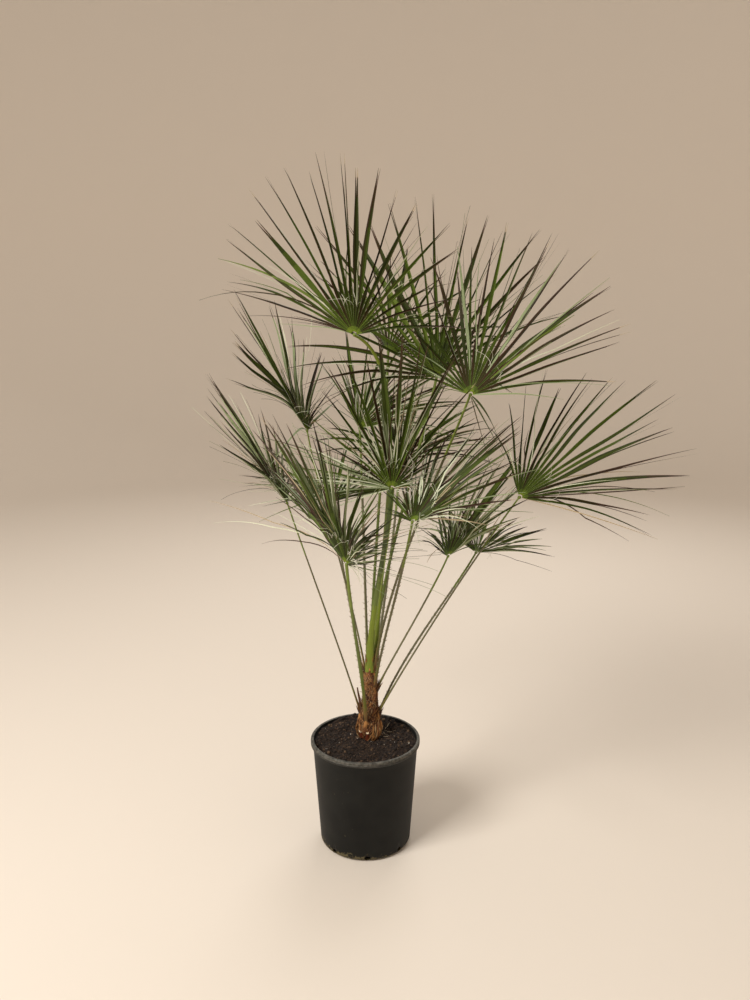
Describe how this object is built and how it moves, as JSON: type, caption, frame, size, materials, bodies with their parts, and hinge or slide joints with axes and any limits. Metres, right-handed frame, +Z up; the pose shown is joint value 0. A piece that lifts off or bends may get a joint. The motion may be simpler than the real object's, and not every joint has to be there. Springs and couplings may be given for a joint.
{
  "type": "potted european fan palm",
  "caption": "Young fan palm: short fibrous trunk and stiff fan fronds on long slender stalks, in a black tapered nursery pot filled with soil.",
  "frame": {"origin": "centre of the flat underside of the pot, where the plant stands", "axes": "+Z up; +X right and +Y away in the picture"},
  "size_m": [1.0187, 0.9504, 1.5594],
  "materials": {
    "pot": "moulded black plastic, satin, lighter along the scuffed rim",
    "soil": "crumbly dark peat with pale bits",
    "trunk": "dry brown fibre and cut leaf bases",
    "stalk": "smooth olive green with small hooked spines",
    "frond": "leathery dark green leaflets, yellow green at the heart"
  },
  "bodies": {
    "root": {"pot": "pot", "soil": "soil", "trunk": "trunk", "stalk_top_left": "stalk", "frond_top_left": "frond", "stalk_upper_right": "stalk", "frond_upper_right": "frond", "stalk_upper_back": "stalk", "frond_upper_back": "frond", "stalk_behind_top": "stalk", "frond_behind_top": "frond", "stalk_left_upper": "stalk", "frond_left_upper": "frond", "stalk_back_left": "stalk", "frond_back_left": "frond", "stalk_left": "stalk", "frond_left": "frond", "stalk_front_left": "stalk", "frond_front_left": "frond", "stalk_middle": "stalk", "frond_middle": "frond", "stalk_front_right": "stalk", "frond_front_right": "frond", "stalk_right": "stalk", "frond_right": "frond", "stalk_right_back": "stalk", "frond_right_back": "frond", "stalk_right_low": "stalk", "frond_right_low": "frond", "stalk_low_back_left": "stalk", "frond_low_back_left": "frond", "stalk_low_back": "stalk", "frond_low_back": "frond"}
  },
  "joints": []
}
